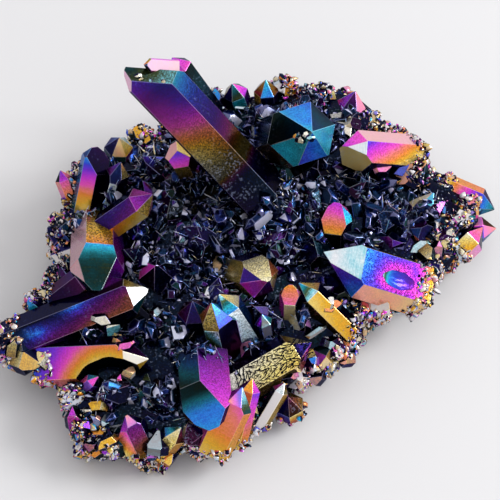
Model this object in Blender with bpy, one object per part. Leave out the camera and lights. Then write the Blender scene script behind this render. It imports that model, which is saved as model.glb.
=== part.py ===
"""A cluster of quartz points grown together on one slab of quartz matrix, with a thin rainbow metal
coat. It is a single natural piece: the slab, the named points, the smaller points between them and the
crust of tiny points round the rim are fused into one solid that rests on a flat cut base.

Metres, +Z up. The origin is on the base, under the middle of the slab. -Y is the front.
"""

import math
import random
from collections import namedtuple

import bmesh
import bpy
from mathutils import Matrix, Vector, noise

MM = 0.001

# Quartz: six prism faces, closed by six pyramid faces whose normals stand 51.8 degrees from the axis.
SIDES = 6
PYRAMID_TILT = math.radians(51.8)
EVEN = (1.0,) * SIDES
SHARP = (0.0,) * SIDES

# Matrix slab, in millimetres. The plan outline is a radius at each angle, anticlockwise from +X.
OUTLINE = (
    (0, 42), (9, 48), (18, 54), (32, 49), (47, 49), (62, 52), (75, 49), (88, 46), (105, 44),
    (121, 42), (134, 44), (150, 47), (165, 45), (177, 44), (193, 50), (204, 47), (214, 49),
    (229, 54), (240, 49), (252, 44), (262, 38), (272, 32), (285, 30), (300, 28), (316, 28),
    (333, 28), (345, 30),
)
SLAB_INSET = 2.0  # the slab's side lies this far inside the outline, and the crust fills the rest
SLAB_DEPTH = 90.0  # from its front edge to its back edge
WAIST_FRONT = 4.0  # height at which the slab is widest, at the front edge
WAIST_BACK = 10.0
TOP_FRONT = 11.0  # height of the slab's top
TOP_BACK = 19.0
BELOW_BASE = 2.0  # how far the rounded underside reaches below the base, before it is cut flat
SLAB_LUMPS = 1.6
SLAB_LUMP_SIZE = 11.0
noise.seed_set(4)  # the same lumps every time

# The points that can be told apart, in millimetres: foot is buried in the slab, tip is where the pyramid
# would close and width is across flats. Face 0 is turned towards SHOWN, the way the cluster is looked at,
# and the others follow anticlockwise seen from the tip; turn rolls them on, in degrees. sides scales each
# prism face's distance from the axis, and caps moves each pyramid face along the axis, in half widths.
SHOWN = Vector((0, -0.5, 0.87)).normalized()
END_ON = 0.95  # cosine from which a point is seen end on, and face 0 is turned straight up the view
CLEAR_OF_BASE = 0.1  # how far a point that reaches down beside the slab stays above the flat base
Point = namedtuple("Point", "name foot tip width turn sides caps", defaults=(0, EVEN, SHARP))

POINTS = (
    Point("tall_spear", (7.5, 11, 15), (-24, 28.5, 50), 11, -10,
          (0.85, 0.85, 0.9, 0.8, 0.45, 1.15), (0.9, -0.4, -0.6, 0.2, 0.4, 0.8)),
    Point("pink_on_spear", (-15, 29.6, 45), (-22, 26.7, 50), 2.6, 0, (0.4, 1, 1, 1.5, 1, 1)),
    Point("spear_behind", (-6.5, 37, 12), (-17, 42.5, 30), 5, -20),
    Point("teal_point", (8, 30, 16), (13, 18, 38), 12.5, 18, (1, 1.15, 1.05, 0.93, 1, 1)),
    Point("gold_purple_point", (36.5, 28, 13), (19, 22.5, 24), 8, -3,
          EVEN, (0.1, 0.1, 0, 0, 0.8, -0.35)),
    Point("right_edge_point", (42.5, 21.5, 10), (54, 17, 8), 6, -5),
    Point("magenta_kite", (18.3, 4, 9), (18.3, 9.5, 22.5), 6.3, -12,
          EVEN, (-0.5, 0.1, 0.4, 0.4, 0.4, 0.2)),
    Point("big_blue_point", (37, -4.4, 9.4), (15, -4, 22), 10, 12,
          (0.85, 1.25, 0.55, 0.8, 1, 0.95), (-0.5, 0.3, 1, 0.5, -0.5, -0.55)),
    Point("gold_bar", (21.3, -14.5, 9.5), (10.2, -7.5, 19), 5.5),
    Point("orange_point", (8.5, -12, 11), (8.5, -9, 20), 4, -5, EVEN, (-0.5, 0.3, 0.4, 0.4, 0.4, 0.3)),
    Point("pale_bar", (0, -16.5, 9), (-6.5, -13, 24), 6, 5),
    Point("pale_blue_point", (-5, -21, 8), (-8, -15, 24), 7.5, -25, (1, 0.9, 1.1, 1, 1, 0.8)),
    Point("round_dark_point", (-11.5, -15, 10), (-12, -13, 21), 6, 0),
    Point("blue_magenta_point", (-10, -22.5, 14), (-8.5, -40, 15), 10, -28,
          (0.9, 1, 1, 1, 1, 1.1), (0.6, -0.5, 0.2, 0.2, 0.2, 0.4)),
    Point("gold_pair_large", (-8, -40.6, 6), (-1.5, -31.5, 18), 6.5, 0, (0.8, 1.1, 1, 1, 1, 1.1)),
    Point("gold_pair_small", (-3, -38.5, 4.5), (0.5, -28.5, 16), 4, -10),
    Point("front_purple_point", (-22.2, -41, 5.5), (-26.5, -34.5, 14), 6, 15,
          EVEN, (0.2, 0, -0.4, -1, -0.6, 0)),
    Point("violet_log", (-52.5, -16.5, 7), (-21, -9.5, 20), 9, 0,
          EVEN, (0.5, 0.4, -0.2, -0.4, -0.2, 0.4)),
    Point("sunset_bar", (-44.5, -20.4, 7), (-21, -24, 16), 8.5, 0, (0.8, 1.1, 1, 1, 1, 1.1)),
    Point("pink_blade", (-36.5, 13, 9), (-32.5, 24, 24), 6, -12, EVEN, (0.4, -0.7, 0, 0, 0, 0.3)),
    Point("white_strip_point", (-31.9, 12.7, 10), (-27.7, 19.4, 24), 4.5, 0, (1.4, 1, 1, 1, 1, 1)),
    Point("purple_gold_point", (-33, 7, 15), (-20.5, 9.5, 27), 6, -10),
    Point("teal_slab_point", (-33, 9, 13), (-32, -10, 22), 10, -12, EVEN, (-0.4, 0.2, 0.3, 0.3, 0.3, 0)),
    Point("violet_small_point", (-14, 21.5, 18), (-15.5, 18, 31), 5.5, 10,
          EVEN, (0.6, -0.2, 0.6, -0.2, 0.6, -0.2)),
    Point("cream_wedge", (-2, -1.5, 13), (4, -9.5, 24), 8, 0, EVEN, (0, 0, 0, 0, 0, -0.3)),
    Point("comb_plate", (-4.5, -28.5, 10.5), (13, -19, 14), 8, 0, (0.8, 1, 1, 1, 1, 1)),
    Point("white_bar", (1.7, -34.7, 5), (7.3, -28, 13), 3.2),
    Point("lilac_bar", (-36.8, -28.7, 8), (-31.5, -27, 14), 3),
    Point("mint_point", (-29, -18.5, 7), (-30, -12.5, 17), 5, 20),
    Point("striped_gold_point", (-19, -40.5, 5), (-14.2, -38, 12.5), 4.5),
    Point("right_block_point", (45.5, 7, 7), (51, 12, 9), 6),
    Point("back_left_point", (-29.2, 26.8, 13), (-28.5, 27.6, 21), 5.5, 10),
    Point("left_sliver", (-39.2, 18.9, 9), (-41.7, 23.6, 14), 3.5),
    Point("grey_point", (3.4, -16.2, 11), (2.5, -14.5, 18), 3.5, 15),
    Point("front_dark_point", (8.7, -30, 3), (8, -29.6, 9.5), 5.5, 20),
    Point("right_end_point", (44, 12.6, 6), (54.3, 13.2, 6.4), 5, 12),
    Point("back_magenta_point", (-2, 41, 12), (-4, 42.5, 20), 5),
    Point("back_cyan_point", (4, 41, 12), (3.5, 43.5, 20), 5),
    Point("back_black_point", (21.5, 39, 9), (23.5, 42.5, 17), 7),
    Point("olive_block", (-39.5, 8.5, 8), (-32.5, 9, 14), 6),
    Point("dark_by_log", (-41, -8, 12), (-32, -5, 20), 6),
)

# A shell-shaped break takes the front corner off the sunset bar: centre and half sizes, in millimetres.
BREAK_CENTRE = (-29.5, -30, 14)
BREAK_SIZE = (9, 6.5, 7)


def outline_radius(angle):
    """The plan outline's radius at an angle in degrees, in millimetres, eased between its points."""
    angle %= 360
    following = OUTLINE[1:] + ((360 + OUTLINE[0][0], OUTLINE[0][1]),)
    for (start, first), (end, second) in zip(OUTLINE, following):
        if start <= angle < end:
            share = (angle - start) / (end - start)
            return first + (second - first) * share * share * (3 - 2 * share)
    return OUTLINE[0][1]


def slab_level(front, back, y):
    """A height that changes evenly from the slab's front edge to its back edge, in millimetres."""
    share = min(max(y / SLAB_DEPTH + 0.5, 0), 1)
    return front + (back - front) * share


def slab_place(direction, inset=SLAB_INSET):
    """Where a direction from the slab's middle meets its surface, in millimetres."""
    flat = math.hypot(direction.x, direction.y)
    angle = math.atan2(direction.y, direction.x)
    radius = (outline_radius(math.degrees(angle)) - inset) * flat**0.55
    x = radius * math.cos(angle)
    y = radius * math.sin(angle)
    waist = slab_level(WAIST_FRONT, WAIST_BACK, y)
    rise = slab_level(TOP_FRONT, TOP_BACK, y) - waist if direction.z > 0 else waist + BELOW_BASE
    z = waist + math.copysign(abs(direction.z) ** 0.8, direction.z) * rise
    place = Vector((x, y, z))
    lumps = noise.noise_vector(place / SLAB_LUMP_SIZE) * SLAB_LUMPS
    return place + lumps


def axis_and_side(foot, tip):
    """A point's axis, and the direction across it that is nearest to SHOWN."""
    axis = (tip - foot).normalized()
    facing = SHOWN if axis.dot(SHOWN) < END_ON else Vector((0, SHOWN.z, -SHOWN.y))
    return axis, (facing - axis * facing.dot(axis)).normalized()


def cut(bm, place, normal):
    """Cuts away what lies beyond a plane and closes the cut with one face."""
    geometry = bm.verts[:] + bm.edges[:] + bm.faces[:]
    made = bmesh.ops.bisect_plane(
        bm, geom=geometry, plane_co=place, plane_no=normal, clear_outer=True, dist=1e-7
    )
    edges = [item for item in made["geom_cut"] if isinstance(item, bmesh.types.BMEdge)]
    if len(edges) > 2:
        bmesh.ops.contextual_create(bm, geom=edges)


def slab_mesh():
    """The slab, sawn flat at the base."""
    bm = bmesh.new()
    bmesh.ops.create_icosphere(bm, subdivisions=3, radius=1.0)
    for vert in bm.verts:
        vert.co = slab_place(vert.co.normalized()) * MM
    cut(bm, Vector(), Vector((0, 0, -1)))
    return bm


def point_mesh(point):
    """One quartz point, cut out of a block by its six prism faces and its six pyramid faces."""
    foot = Vector(point.foot) * MM
    tip = Vector(point.tip) * MM
    half = point.width / 2 * MM
    axis, side = axis_and_side(foot, tip)
    bm = bmesh.new()
    length = (tip - foot).length + half
    block = max(point.sides) * half * 4
    bmesh.ops.create_cube(bm, size=1.0)
    bmesh.ops.scale(bm, verts=bm.verts, vec=(block, block, length))
    bmesh.ops.translate(bm, verts=bm.verts, vec=(0, 0, length / 2))
    lie = Matrix((side, axis.cross(side), axis)).transposed().to_4x4()
    bmesh.ops.transform(bm, matrix=Matrix.Translation(foot) @ lie, verts=bm.verts)
    for number, (side_share, cap_share) in enumerate(zip(point.sides, point.caps)):
        around = Matrix.Rotation(math.radians(point.turn + 60 * number), 3, axis)
        outward = around @ side
        cut(bm, foot + outward * half * side_share, outward)
        slope = axis * math.cos(PYRAMID_TILT) + outward * math.sin(PYRAMID_TILT)
        cut(bm, tip + axis * half * cap_share, slope)
    cut(bm, Vector((0, 0, CLEAR_OF_BASE * MM)), Vector((0, 0, -1)))
    bmesh.ops.recalc_face_normals(bm, faces=bm.faces)
    return bm


# Smaller points, in millimetres: a field over the top, coarse in the middle and fine towards the edge,
# and rows of short points standing out of the side.
FIELD_TRIES = 4000
FIELD_SPACING_MIDDLE = 8.8
FIELD_SPACING_EDGE = 6.8
CRUST_ROWS = ((-0.28, 30), (0.05, 34), (0.38, 31))  # of the side: how high on the slab, and how many
LEAN = 0.75  # how far a point at the edge leans outwards, against straight up
ROUGHNESS = 0.45  # how far a point strays from that direction
SINK = 2.2  # how deep a point's foot lies in the slab
CLEARANCE = 0.7  # of the two half widths together, kept between a field point and a named one


def top_direction(x, y):
    """The direction from the slab's middle whose surface place lies over a place in plan."""
    angle = math.atan2(y, x)
    reach = outline_radius(math.degrees(angle)) - SLAB_INSET
    flat = min(math.hypot(x, y) / reach, 0.97) ** (1 / 0.55)
    return Vector((flat * math.cos(angle), flat * math.sin(angle), math.sqrt(1 - flat * flat)))


def stray(rng, amount):
    return Vector([rng.uniform(-amount, amount) for _ in range(3)])


def grown(rng, name, place, way, width, length):
    """A small point standing on the slab, its faces uneven as quartz grows them."""
    return Point(
        name,
        tuple(place - way * SINK),
        tuple(place + way * length),
        width,
        rng.uniform(0, 60),
        tuple(rng.uniform(0.8, 1.2) for _ in range(SIDES)),
        tuple(rng.uniform(-0.3, 0.5) for _ in range(SIDES)),
    )


def distance_to_named(place, point):
    """How far a place lies from a named point's axis, in millimetres."""
    foot = Vector(point.foot)
    along = Vector(point.tip) - foot
    share = min(max((place - foot).dot(along) / along.length_squared, 0), 1)
    return (place - foot - along * share).length


def field_points():
    """Points over the slab's top, kept clear of the named ones and of each other."""
    rng = random.Random(23)
    placed = []
    made = []
    for _ in range(FIELD_TRIES):
        angle = rng.uniform(0, math.tau)
        share = math.sqrt(rng.random())
        reach = (outline_radius(math.degrees(angle)) - SLAB_INSET) * share
        x = reach * math.cos(angle)
        y = reach * math.sin(angle)
        spacing = FIELD_SPACING_MIDDLE + (FIELD_SPACING_EDGE - FIELD_SPACING_MIDDLE) * share**2
        if any(math.hypot(x - other.x, y - other.y) < spacing for other in placed):
            continue
        place = slab_place(top_direction(x, y))
        width = spacing * rng.uniform(0.75, 1.0)
        way = (Vector((x, y, 0)) / 50 * LEAN + Vector((0, 0, 1)) + stray(rng, ROUGHNESS)).normalized()
        length = width * rng.uniform(0.5, 1.0)
        middle = place + way * length / 2
        if any(
            distance_to_named(middle, point) < (point.width + width) / 2 * CLEARANCE for point in POINTS
        ):
            continue
        placed.append(place)
        made.append(grown(rng, f"field_{len(made)}", place, way, width, length))
    return made


def crust_points():
    """Short points standing out of the slab's side, row above row."""
    rng = random.Random(51)
    made = []
    for height, count in CRUST_ROWS:
        for number in range(count):
            angle = math.tau * (number + rng.uniform(-0.3, 0.3)) / count
            flat = math.sqrt(1 - height * height)
            outward = Vector((flat * math.cos(angle), flat * math.sin(angle), height))
            place = slab_place(outward)
            way = (outward + Vector((0, 0, 0.25)) + stray(rng, ROUGHNESS)).normalized()
            width = rng.uniform(4.4, 6.6)
            made.append(
                grown(rng, f"crust_{len(made)}", place, way, width, width * rng.uniform(0.3, 0.6))
            )
    return made


def keep_outer_surface(mesh):
    """Drops every shell but the largest, such as a hollow closed in between points that meet."""
    bm = bmesh.new()
    bm.from_mesh(mesh)
    shells = []
    unseen = set(bm.faces)
    while unseen:
        shell = []
        reached = [unseen.pop()]
        while reached:
            face = reached.pop()
            shell.append(face)
            for edge in face.edges:
                for other in edge.link_faces:
                    if other in unseen:
                        unseen.remove(other)
                        reached.append(other)
        shells.append(shell)
    shells.sort(key=len)
    for shell in shells[:-1]:
        bmesh.ops.delete(bm, geom=shell, context="FACES")
    bm.to_mesh(mesh)
    bm.free()


def coat_material():
    """Quartz under a film of vaporised metal."""
    material = bpy.data.materials.new("rainbow_metal_coat")
    material.use_nodes = True
    shader = material.node_tree.nodes["Principled BSDF"]
    shader.inputs["Base Color"].default_value = (0.10, 0.07, 0.22, 1)
    shader.inputs["Metallic"].default_value = 1.0
    shader.inputs["Roughness"].default_value = 0.25
    return material


def add_object(name, bm, collection):
    mesh = bpy.data.meshes.new(name)
    bm.to_mesh(mesh)
    bm.free()
    obj = bpy.data.objects.new(name, mesh)
    collection.objects.link(obj)
    return obj


def apply_boolean(obj, operation, collection):
    """Joins or cuts an object with every object of a collection, then removes them."""
    modifier = obj.modifiers.new("boolean", "BOOLEAN")
    modifier.operation = operation
    modifier.operand_type = "COLLECTION"
    modifier.collection = collection
    modifier.solver = "EXACT"
    evaluated = obj.evaluated_get(bpy.context.evaluated_depsgraph_get())
    mesh = bpy.data.meshes.new_from_object(evaluated)
    obj.modifiers.clear()
    obj.data = mesh
    for helper in list(collection.objects):
        bpy.data.objects.remove(helper)
    bpy.data.collections.remove(collection)


def helper_collection(name):
    collection = bpy.data.collections.new(name)
    bpy.context.scene.collection.children.link(collection)
    return collection


def break_corner(bar):
    """Takes the shell-shaped break out of a bar."""
    broken = helper_collection("broken_off")
    bite = bmesh.new()
    bmesh.ops.create_icosphere(bite, subdivisions=2, radius=MM)
    bmesh.ops.scale(bite, verts=bite.verts, vec=BREAK_SIZE)
    bmesh.ops.translate(bite, verts=bite.verts, vec=Vector(BREAK_CENTRE) * MM)
    add_object("bite", bite, broken)
    apply_boolean(bar, "DIFFERENCE", broken)


def build():
    for obj in list(bpy.data.objects):
        bpy.data.objects.remove(obj)
    cluster = add_object("crystal_cluster", slab_mesh(), bpy.context.scene.collection)
    joined = helper_collection("joined_points")
    for point in POINTS + tuple(field_points()) + tuple(crust_points()):
        add_object(point.name, point_mesh(point), joined)
    break_corner(joined.objects["sunset_bar"])
    apply_boolean(cluster, "UNION", joined)
    keep_outer_surface(cluster.data)
    cluster.data.materials.clear()
    cluster.data.materials.append(coat_material())


build()
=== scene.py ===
"""Looks of the aura quartz cluster: a slab of quartz matrix with points grown over it and a crust of
tiny points round its rim, all under one thin film of metal that shows rainbow colours.
"""

import math
import random
from collections import namedtuple

import bmesh
import bpy
import numpy as np
from mathutils import Matrix, Vector, noise
from mathutils.bvhtree import BVHTree


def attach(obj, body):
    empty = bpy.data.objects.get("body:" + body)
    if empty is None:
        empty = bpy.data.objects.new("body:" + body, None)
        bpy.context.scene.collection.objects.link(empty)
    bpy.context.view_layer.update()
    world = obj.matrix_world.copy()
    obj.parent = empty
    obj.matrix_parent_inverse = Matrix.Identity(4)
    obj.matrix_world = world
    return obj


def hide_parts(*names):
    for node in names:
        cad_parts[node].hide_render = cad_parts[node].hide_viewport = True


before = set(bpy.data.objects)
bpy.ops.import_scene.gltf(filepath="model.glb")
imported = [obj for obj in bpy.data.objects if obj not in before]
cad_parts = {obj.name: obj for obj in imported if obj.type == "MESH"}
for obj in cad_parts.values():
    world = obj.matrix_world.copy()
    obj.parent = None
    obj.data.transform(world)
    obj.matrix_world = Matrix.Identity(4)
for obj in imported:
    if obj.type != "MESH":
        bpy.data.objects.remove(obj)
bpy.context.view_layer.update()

# Camera.
# It looks down on the front of the cluster at 60 degrees, from half a metre away.
MM = 0.001
VIEW_ELEVATION = math.radians(60)
VIEW_DISTANCE = 500 * MM
VIEW_WIDTH = 111.1 * MM  # seen across the frame at the target
VIEW_TARGET = Vector((0, 11.4, 0)) * MM
SENSOR = 36.0

camera = bpy.data.objects.new("camera", bpy.data.cameras.new("camera"))
bpy.context.scene.collection.objects.link(camera)
bpy.context.scene.camera = camera
back = Vector((0, -math.cos(VIEW_ELEVATION), math.sin(VIEW_ELEVATION)))
camera.location = VIEW_TARGET + back * VIEW_DISTANCE
camera.rotation_euler = back.to_track_quat("Z", "Y").to_euler()
camera.data.sensor_width = SENSOR
camera.data.lens = SENSOR * VIEW_DISTANCE / VIEW_WIDTH
camera.data.clip_start = 10 * MM
camera.data.clip_end = 20

# Floor, room and window light.
# The cluster stands on a pale table top. A wide soft light stands at the right, in a pale room
# that is darker on the left and on the camera's side.
FLOOR_SIDE = 4.0
FLOOR_COLOUR = (220, 220, 221)
FLOOR_ROUGHNESS = 0.55
FLOOR_GRAIN = 900.0  # cells to the metre
ROOM_BRIGHT = (252, 251, 252)
ROOM_DIM = (198, 197, 200)
ROOM_STRENGTH = 1.045
ROOM_MIDDLE = 0.52
ROOM_TURN = 0.35
WINDOW_PLACE = Vector((0.80, 0.12, 0.62))
WINDOW_SIDE = 0.45
WINDOW_POWER = 7.0


class Value:
    """One socket of a shader. Arithmetic on it adds the Math nodes that work it out."""

    def __init__(self, tree, socket):
        self.tree = tree
        self.socket = socket

    def math(self, operation, first, second):
        return add_node(self.tree, "ShaderNodeMath", {"operation": operation}, {0: first, 1: second})

    def __add__(self, other):
        return self.math("ADD", self, other)

    def __sub__(self, other):
        return self.math("SUBTRACT", self, other)

    def __rsub__(self, other):
        return self.math("SUBTRACT", other, self)

    def __mul__(self, other):
        return self.math("MULTIPLY", self, other)

    __radd__ = __add__
    __rmul__ = __mul__


def add_node(tree, kind, settings, inputs, output=0):
    """Adds a node, makes its settings, then fills its sockets, and gives back one of its outputs."""
    node = tree.nodes.new(kind)
    for name, value in settings.items():
        if name == "stops":
            ramp = node.color_ramp.elements
            while len(ramp) < len(value):
                ramp.new(1.0)
            for stop, (position, colour) in zip(ramp, value):
                stop.position = position
                stop.color = colour
        else:
            setattr(node, name, value)
    for name, value in inputs.items():
        if isinstance(value, Value):
            tree.links.new(value.socket, node.inputs[name])
        else:
            node.inputs[name].default_value = value
    return Value(tree, node.outputs[output]) if node.outputs else None


def screen_colour(red, green, blue):
    """A colour given as 0 to 255 on screen, as the linear colour that a shader takes."""
    linear = [((channel / 255 + 0.055) / 1.055) ** 2.4 for channel in (red, green, blue)]
    return (*linear, 1.0)


def new_material(name):
    material = bpy.data.materials.new(name)
    material.use_nodes = True
    material.node_tree.nodes.clear()
    return material


def noise_at(tree, place, scale, detail=2.0):
    """A noise from 0 to 1 over a place, with so many cells to the unit."""
    settings = {"Vector": place, "Scale": scale, "Detail": detail}
    return add_node(tree, "ShaderNodeTexNoise", {}, settings, "Fac")


def new_object(name, mesh):
    obj = bpy.data.objects.new(name, mesh)
    bpy.context.scene.collection.objects.link(obj)
    return obj


room = bpy.data.worlds.new("room")
bpy.context.scene.world = room
room.use_nodes = True
room.node_tree.nodes.clear()
tree = room.node_tree
heading = add_node(tree, "ShaderNodeTexCoord", {}, {}, "Generated")
east = add_node(tree, "ShaderNodeSeparateXYZ", {}, {0: heading}, 0)
north = add_node(tree, "ShaderNodeSeparateXYZ", {}, {0: heading}, 1)
shade = add_node(
    tree,
    "ShaderNodeValToRGB",
    {"stops": ((0.0, screen_colour(*ROOM_DIM)), (1.0, screen_colour(*ROOM_BRIGHT)))},
    {0: east * ROOM_TURN + north * ROOM_TURN + ROOM_MIDDLE},
)
glow = add_node(tree, "ShaderNodeBackground", {}, {"Color": shade, "Strength": ROOM_STRENGTH})
add_node(tree, "ShaderNodeOutputWorld", {}, {"Surface": glow})

window = bpy.data.objects.new("window", bpy.data.lights.new("window", "AREA"))
bpy.context.scene.collection.objects.link(window)
window.data.shape = "SQUARE"
window.data.size = WINDOW_SIDE
window.data.energy = WINDOW_POWER
window.location = WINDOW_PLACE
window.rotation_euler = WINDOW_PLACE.to_track_quat("Z", "Y").to_euler()

bm = bmesh.new()
bmesh.ops.create_grid(bm, x_segments=1, y_segments=1, size=FLOOR_SIDE / 2)
mesh = bpy.data.meshes.new("floor")
bm.to_mesh(mesh)
bm.free()
floor = new_object("floor", mesh)
material = new_material("pale_table")
tree = material.node_tree
speck = noise_at(tree, add_node(tree, "ShaderNodeTexCoord", {}, {}, "Object"), FLOOR_GRAIN)
table_top = add_node(
    tree,
    "ShaderNodeBsdfPrincipled",
    {},
    {"Base Color": screen_colour(*FLOOR_COLOUR), "Roughness": speck * 0.1 + FLOOR_ROUGHNESS},
)
add_node(tree, "ShaderNodeOutputMaterial", {}, {"Surface": table_top})
floor.data.materials.append(material)
bpy.context.scene.view_settings.view_transform = "Standard"

# Matrix slab.
# The mass of quartz that all the points grow from: a lumpy slab, highest at the back, sawn flat below.
# Little of it shows between the points, and there it is painted nearly black as shade. Like all the rest it
# wears the film.
SIDES = 6
OUTLINE = (
    (0, 42), (9, 48), (18, 54), (32, 49), (47, 49), (62, 52), (75, 49), (88, 46), (105, 44),
    (121, 42), (134, 44), (150, 47), (165, 45), (177, 44), (193, 50), (204, 47), (214, 49),
    (229, 54), (240, 49), (252, 44), (262, 38), (272, 32), (285, 30), (300, 28), (316, 28),
    (333, 28), (345, 30),
)  # radius in millimetres at each angle, anticlockwise from +X
SLAB_INSET = 2.0
SLAB_DEPTH = 90.0
WAIST_FRONT = 4.0
WAIST_BACK = 10.0
TOP_FRONT = 11.0
TOP_BACK = 19.0
BELOW_BASE = 2.0
SLAB_LUMPS = 1.6
SLAB_LUMP_SIZE = 11.0
FINE_LUMPS = 0.5
FINE_LUMP_SIZE = 2.5
SIDE_FULLNESS = 0.55
TOP_FULLNESS = 0.8
# The slab's coat: painted shade, nearly black, with painted glint specks.
SLAB_PAINTED_SHADE = 0.02
SLAB_GLINT_SPECKS = 0.8
LUMP_SEED = 4
noise.seed_set(LUMP_SEED)

# The film's colours in order of its thickness, from thin to thick, as places from 0 to 1.
CREAM, STRAW, GOLD, ORANGE, SALMON, PINK, MAGENTA = 0.0, 0.07, 0.14, 0.21, 0.28, 0.36, 0.44
VIOLET, BLUE, AZURE, CYAN, TEAL, OLIVE, ICE, WHITE = 0.53, 0.62, 0.70, 0.78, 0.84, 0.88, 0.93, 1.0
FILM = (
    (CREAM, (252, 247, 225)),
    (STRAW, (246, 222, 130)),
    (GOLD, (238, 182, 44)),
    (ORANGE, (246, 142, 52)),
    (SALMON, (250, 130, 118)),
    (PINK, (250, 84, 200)),
    (MAGENTA, (214, 56, 224)),
    (VIOLET, (122, 48, 232)),
    (BLUE, (48, 72, 232)),
    (AZURE, (44, 146, 248)),
    (CYAN, (40, 190, 215)),
    (TEAL, (15, 105, 105)),
    (OLIVE, (90, 105, 30)),
    (ICE, (140, 230, 246)),
    (WHITE, (246, 252, 255)),
)
# The pale colour of worn film, which is also painted on as a highlight.
WEAR_AND_HIGHLIGHT_COLOUR = (225, 222, 232)
# The silver of the painted glint chips.
GLINT_COLOUR = (176, 192, 228)
DRIFT_CELLS, PATCH_CELLS, CRUMB_CELLS, DUST_CELLS = 160.0, 330.0, 1900.0, 4200.0  # to the metre
LINES = (0.35, 3.2, 1.0)  # cells to the millimetre across a face and along it
RELIEF = 0.08 * MM


def film_material():
    """Quartz under a film of vaporised metal.

    Its "coat" attribute holds the film's thickness; a painted reflection, how bright or dark the face is
    painted as the light it throws back and as its shade; how much of it is specked with painted glints,
    bright chips and dark pits; and how far the film is worn off, which is also painted on as a highlight.
    """
    material = new_material("rainbow_film")
    tree = material.node_tree
    coat = add_node(tree, "ShaderNodeAttribute", {"attribute_name": "coat"}, {}, "Color")
    worn = add_node(tree, "ShaderNodeAttribute", {"attribute_name": "coat"}, {}, "Alpha")
    thickness = add_node(tree, "ShaderNodeSeparateColor", {}, {0: coat}, 0)
    gleam = add_node(tree, "ShaderNodeSeparateColor", {}, {0: coat}, 1)
    glint_specked = add_node(tree, "ShaderNodeSeparateColor", {}, {0: coat}, 2)
    place = add_node(tree, "ShaderNodeTexCoord", {}, {}, "Object")
    grain = add_node(tree, "ShaderNodeUVMap", {"uv_map": "grain"}, {})

    drift = noise_at(tree, place, DRIFT_CELLS)
    crumbs = noise_at(tree, place, CRUMB_CELLS, 3.0)
    dust = noise_at(tree, place, DUST_CELLS, 1.0)
    patches = noise_at(tree, place, PATCH_CELLS)
    across = add_node(
        tree, "ShaderNodeVectorMath", {"operation": "MULTIPLY"}, {0: grain, 1: LINES}
    )
    lines = noise_at(tree, across, 1.0, 3.0)

    wander = (drift - 0.5) * 0.12 + (crumbs - 0.5) * 0.05 + (lines - 0.5) * 0.06
    stops = tuple((position, screen_colour(*colour)) for position, colour in FILM)
    colour = add_node(tree, "ShaderNodeValToRGB", {"stops": stops}, {0: thickness + wander})
    # Painted glints: specks that make a face brighter or darker.
    glint_and_pit_specks = add_node(
        tree,
        "ShaderNodeMapRange",
        {"interpolation_type": "SMOOTHSTEP"},
        {0: dust * 0.7 + crumbs * 0.3, 1: 0.4, 2: 0.62, 3: 0.0, 4: 2.0},
    )
    # Painted reflection and shade: the face's brightness, made brighter or darker by the painted glint
    # specks.
    light = gleam * (0.7 + lines * 0.45 + crumbs * 0.2) * (1.0 + glint_specked * 0.9 * (glint_and_pit_specks - 1.0))
    colour = add_node(
        tree, "ShaderNodeVectorMath", {"operation": "SCALE"}, {0: colour, "Scale": light}
    )

    # Painted glints: silver chips mixed into the colour.
    glint_chips = add_node(
        tree,
        "ShaderNodeMapRange",
        {"interpolation_type": "SMOOTHSTEP"},
        {0: crumbs * 0.65 + patches * 0.35 + glint_specked * 0.12, 1: 0.66, 2: 0.74, 3: 0.0, 4: 1.0},
    )
    colour = add_node(
        tree,
        "ShaderNodeMix",
        {"data_type": "RGBA"},
        {0: glint_chips * glint_specked * 0.24, 6: colour, 7: screen_colour(*GLINT_COLOUR)},
        2,
    )
    # Worn film, also a painted highlight: the pale wear colour mixed in.
    colour = add_node(
        tree,
        "ShaderNodeMix",
        {"data_type": "RGBA"},
        {0: worn, 6: colour, 7: screen_colour(*WEAR_AND_HIGHLIGHT_COLOUR)},
        2,
    )
    relief = add_node(
        tree,
        "ShaderNodeBump",
        {},
        {"Height": lines * 0.6 + crumbs * 0.4, "Strength": 0.3, "Distance": RELIEF},
    )
    shader = add_node(
        tree,
        "ShaderNodeBsdfPrincipled",
        {},
        {
            "Base Color": colour,
            "Metallic": 0.95 - gleam * 0.35 - worn * 0.4,
            "Specular Tint": (0.35, 0.36, 0.5, 1.0),
            "Roughness": 0.12 + crumbs * 0.14,
            "Coat Weight": 0.12 + gleam * 0.2,
            "Coat Roughness": 0.08,
            "Normal": relief,
        },
    )
    add_node(tree, "ShaderNodeOutputMaterial", {}, {"Surface": shader})
    return material


film = film_material()


def outline_radius(angle):
    """The plan outline's radius at an angle in degrees, in millimetres, eased between its points."""
    angle %= 360
    following = OUTLINE[1:] + ((360 + OUTLINE[0][0], OUTLINE[0][1]),)
    for (start, first), (end, second) in zip(OUTLINE, following):
        if start <= angle < end:
            share = (angle - start) / (end - start)
            return first + (second - first) * share * share * (3 - 2 * share)
    return OUTLINE[0][1]


def slab_level(front, back, y):
    """A height that changes evenly from the slab's front edge to its back edge, in millimetres."""
    share = min(max(y / SLAB_DEPTH + 0.5, 0), 1)
    return front + (back - front) * share


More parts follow.
